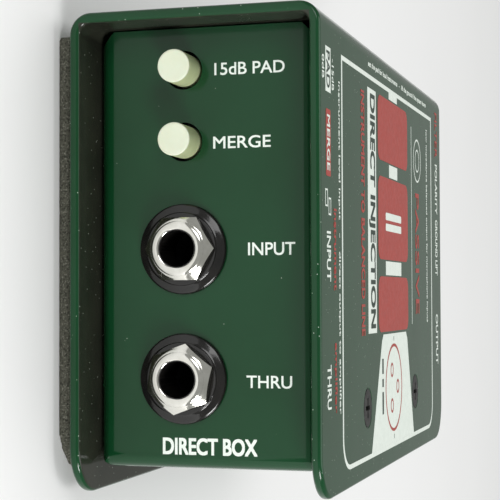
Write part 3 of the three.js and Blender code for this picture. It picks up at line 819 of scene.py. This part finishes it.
def make_inside():
    finish_node("circuit_board", BOARD)
    finish_node("transformer_can", CAN)
    finish_node("transformer_base", BLACK)
    finish_node("transformer_core", CORE)
    finish_node("transformer_winding", COPPER)
    finish_node("ground_lift_capacitor", YELLOW_FILM)
    finish_node("speaker_filter_capacitor", RED_FILM)
    for name in ("pad_resistor_1", "pad_resistor_2", "merge_resistor_1", "merge_resistor_2"):
        finish_node(name, RESISTOR)
    finish_node("ground_lift_resistor", RESISTOR)


# ---------------------------------------------------------------- printing


def scaled(points):
    return [(x * MM, y * MM) for x, y in points]


def bar(x0, x1, y0, y1):
    return scaled([(x0, y0), (x1, y0), (x1, y1), (x0, y1)])


def soft_bar(x0, x1, y0, y1, radius):
    return scaled(rounded(x0, x1, y0, y1, radius))


def disc(x, y, radius):
    return scaled(circle(x, y, radius))


def say(sheet, text, x, y, size, width, bold):
    """Words around x, y, of the given cap height and width; bold is a share of the height."""
    sheet.words(text, x * MM, y * MM, size * MM, width * MM, bold)


def border_loop(x0, x1, y0, y1, radius):
    """Rectangle with square corners at the spine and round ones at the open side."""
    points = [(x0, y0)]
    for cx, cy, start in ((x1 - radius, y0 + radius, 270), (x1 - radius, y1 - radius, 0)):
        for i in range(9):
            angle = math.radians(start + 90 * i / 8)
            points.append((cx + radius * math.cos(angle), cy + radius * math.sin(angle)))
    points.append((x0, y1))
    return scaled(points)


# The plate's graphics, in millimetres from the middle of the plate.
FRAME_X0, FRAME_X1 = -35.05, 38.45
FRAME_Y0, FRAME_Y1 = -47.6, 49.5
FRAME_LINE = 0.85
FRAME_ROUND = 6.0
LEGEND_Y = -57.7                   # row of words beside the front edge
REAR_LEGEND_Y = 56.6
NAME_X0, NAME_X1 = -32.5, 14.7     # column of the large words and blocks
BADGE_X, BADGE_Y = 26.3, 0.4
BADGE_RADIUS = 9.0


def print_plate():
    white, red, dark = Print(ON_TOP), Print(ON_TOP), Print(ON_TOP_SECOND)
    line = FRAME_LINE
    outer = border_loop(FRAME_X0, FRAME_X1, FRAME_Y0, FRAME_Y1, FRAME_ROUND)
    sides = (FRAME_X0 + line, FRAME_X1 - line, FRAME_Y0 + line, FRAME_Y1 - line)
    inner = border_loop(*sides, FRAME_ROUND - line)
    white.outline(outer, (inner,))
    print_edge_words(white, red, dark)
    print_name(white, red, dark)
    print_output_panel(white, dark)
    white.film("plate_white_print", WHITE_INK)
    red.film("plate_red_print", RED_INK)
    dark.film("plate_overprint", DARK_INK)


def print_edge_words(white, red, dark):
    y = LEGEND_Y
    say(white, "0dB", -31.0, y - 3.6, 1.5, 4.0, 0.012)
    white.outline(bar(-34.8, -27.1, y - 1.9, y + 1.9))
    say(dark, "PAD", -30.95, y, 2.4, 6.2, 0.02)
    say(white, "-15dB", -30.5, y + 3.5, 1.5, 5.4, 0.012)
    red.outline(soft_bar(-24.2, -12.8, y - 1.7, y + 1.7, 0.4))
    over = Print(ON_TOP_SECOND)
    say(over, "MERGE", -18.5, y, 2.1, 9.4, 0.02)
    over.film("plate_white_overprint", WHITE_INK)
    for x0, y0 in ((-10.6, -2.4), (-9.2, 0.0)):
        x1, y1 = x0 + 3.0, y + y0 + 1.8
        hole = bar(x0 + 0.3, x1 - 0.3, y + y0 + 0.3, y1 - 0.3)
        white.outline(bar(x0, x1, y + y0, y1), (hole,))
    say(white, "INPUT", 0.8, y, 2.8, 8.4, 0.02)
    say(white, "THRU", 22.9, y, 2.8, 7.4, 0.02)
    say(red, "instrument", -0.5, y + 4.9, 2.0, 14.0, 0.03)
    say(red, "amplifier", 21.6, y + 4.9, 2.0, 12.0, 0.03)
    say(white, "instrument level input   -   direct output to amplifier", -1.0, y + 8.2, 1.5, 58, 0.02)
    y = REAR_LEGEND_Y
    say(red, "FILTER", -31.6, y, 3.0, 10.8, 0.02)
    say(white, "POLARITY", -18.4, y, 3.0, 12.0, 0.02)
    say(white, "GROUND LIFT", -4.2, y, 3.0, 13.4, 0.02)
    say(white, "OUTPUT", 18.0, y, 3.0, 12.0, 0.02)


def print_name(white, red, dark):
    x0, x1 = NAME_X0, NAME_X1
    middle = (x0 + x1) / 2
    say(red, "INSTRUMENT TO BALANCED LINE", middle + 0.8, -29.6, 3.0, 46, 0.03)
    white.outline(bar(x0, x1, -25.0, -17.0))
    say(dark, "DIRECT INJECTION", middle, -21.0, 5.6, 45, 0.03)
    blocks = ((x0, -19.6), (-16.4, 0.2), (3.6, x1))
    for left, right in blocks:
        red.outline(soft_bar(left, right, -15.0, 17.5, 2.4))
    links = ((FRAME_X0 + FRAME_LINE, blocks[0][0] - 0.3), (blocks[0][1] + 0.3, blocks[1][0] - 0.3))
    for left, right in links:
        white.outline(bar(left, right, -3.5, 5.5))
    white.outline(bar(blocks[1][1] + 0.3, blocks[2][0] - 0.3, -7.5, 9.5))
    over = Print(ON_TOP_SECOND)
    for x in (-8.6, -6.4):
        over.outline(soft_bar(x - 0.75, x + 0.75, -7.5, 9.5, 0.4))
    over.film("plate_core_sign", WHITE_INK)
    white.outline(bar(x0 + 2.5, x1 - 1.0, 22.2, 22.6))
    white.outline(disc(-23.0, 29.9, 4.9), (disc(-23.0, 29.9, 4.5),))
    white.outline(disc(-23.0, 29.9, 2.6), (disc(-23.0, 29.9, 2.25),))
    say(red, "PASSIVE", -2.0, 29.5, 4.4, 27, 0.02)
    say(white, "low impedance balanced output for microphone inputs", middle, 42.5, 1.8, 45, 0.02)
    along = Print(ON_TOP_ALONG)
    advice = "set the pad for loud instruments   -   lift the ground if the system hums"
    say(along, advice, 9.0, 37.0, 1.3, 66, 0.03)
    along.film("plate_side_print", WHITE_INK)


def print_output_panel(white, dark):
    """White field beside the output, with a sign for a three-pin connector."""
    far = FRAME_X1 - FRAME_LINE - 0.01
    field = [(15.2, -10.5), (16.6, -12.0), (far, -22.5), (far, 23.5), (16.6, 16.0), (15.2, 14.5)]
    x, y, radius = BADGE_X, BADGE_Y, BADGE_RADIUS
    white.outline(scaled(field))
    sign = Print(ON_TOP_SECOND)
    sign.outline(disc(x, y, radius), (disc(x, y, radius - 0.6),))
    for angle in (90, 210, 330):
        dx, dy = math.cos(math.radians(angle)), math.sin(math.radians(angle))
        centre = (x + 4.2 * dx, y + 4.2 * dy)
        sign.outline(disc(*centre, 1.5), (disc(*centre, 1.0),))
    sign.film("plate_output_sign", RED_INK)
    dark.outline(bar(15.8, x - radius - 0.6, y - 0.15, y + 0.15))
    dark.outline(bar(x + radius + 0.6, far - 0.8, y - 0.15, y + 0.15))
    for left, right in ((20.0, 23.0), (24.0, 25.6), (26.6, 31.0)):
        dark.outline(bar(left, right, y - 12.4, y - 11.0))


def print_front():
    sheet = Print(ON_FRONT)
    say(sheet, "15dB PAD", 33.4, 32.3, 2.12, 12.7, 0.015)
    say(sheet, "MERGE", 32.0, 19.4, 2.1, 10.4, 0.015)
    say(sheet, "INPUT", 37.3, 0.7, 2.17, 8.4, 0.015)
    say(sheet, "THRU", 36.8, -22.3, 2.12, 8.1, 0.015)
    say(sheet, "DIRECT BOX", 26.0, -33.7, 2.8, 17.1, 0.035)
    sheet.film("front_print", WHITE_INK)


def print_rear():
    sheet = Print(ON_REAR)
    for words, node, width in (
        ("FILTER", "speaker_button", 8.6),
        ("POLARITY", "polarity_button", 10.4),
        ("LIFT", "ground_lift_button", 5.4),
    ):
        say(sheet, words, -32.0, -centre_x(node) / MM, 2.1, width, 0.022)
    say(sheet, "OUTPUT", -25.5, -35.0, 2.4, 11.0, 0.022)
    sheet.film("rear_print", WHITE_INK)


# ---------------------------------------------------------------- studio


def area_light(name, place, aim, size, power):
    data = bpy.data.lights.new(name, "AREA")
    data.shape = "RECTANGLE"
    data.size, data.size_y = size
    data.energy = power
    light = bpy.data.objects.new(name, data)
    bpy.context.scene.collection.objects.link(light)
    light.location = place
    light.rotation_euler = (Vector(aim) - Vector(place)).to_track_quat("-Z", "Y").to_euler()


FLOOR_Z = -0.05 * MM               # just clear of the pad's underside


def make_studio():
    m = Nodes("pale_floor")
    m.colour(m.mix(m.ramp(m.noise(3, 3), 0.3, 0.7), (0.91, 0.91, 0.91), (0.93, 0.93, 0.93)))
    m.rough(m.ramp(m.noise(9, 3), 0.3, 0.7, 0.75, 0.85))
    mesh = bpy.data.meshes.new("floor")
    reach = 6.0
    mesh.from_pydata(
        [(x * reach, y * reach, FLOOR_Z) for x, y in ((-1, -1), (1, -1), (1, 1), (-1, 1))], [], [(0, 1, 2, 3)]
    )
    mesh.materials.append(m.material)
    floor = bpy.data.objects.new("floor", mesh)
    bpy.context.scene.collection.objects.link(floor)

    world = bpy.data.worlds.new("studio")
    world.use_nodes = True
    world.node_tree.nodes["Background"].inputs["Color"].default_value = (0.34, 0.345, 0.335, 1)
    world.node_tree.nodes["Background"].inputs["Strength"].default_value = 1.0
    bpy.context.scene.world = world

    front = (0, -0.055, 0.025)
    area_light("key_spine_side", (-0.54, -0.86, 0.42), front, (0.42, 0.42), 2.3)
    area_light("key_open_side", (0.84, -0.54, 0.42), front, (0.34, 0.34), 7.8)
    area_light("wash", (0, 0.3, 1.7), (0, 0.2, 0), (1.6, 1.6), 15.0)
    bpy.context.scene.view_settings.view_transform = "Standard"


# ---------------------------------------------------------------- everything

make_camera()
make_casing()
make_pad()
make_controls()
make_output()
make_inside()
print_plate()
print_front()
print_rear()
make_studio()
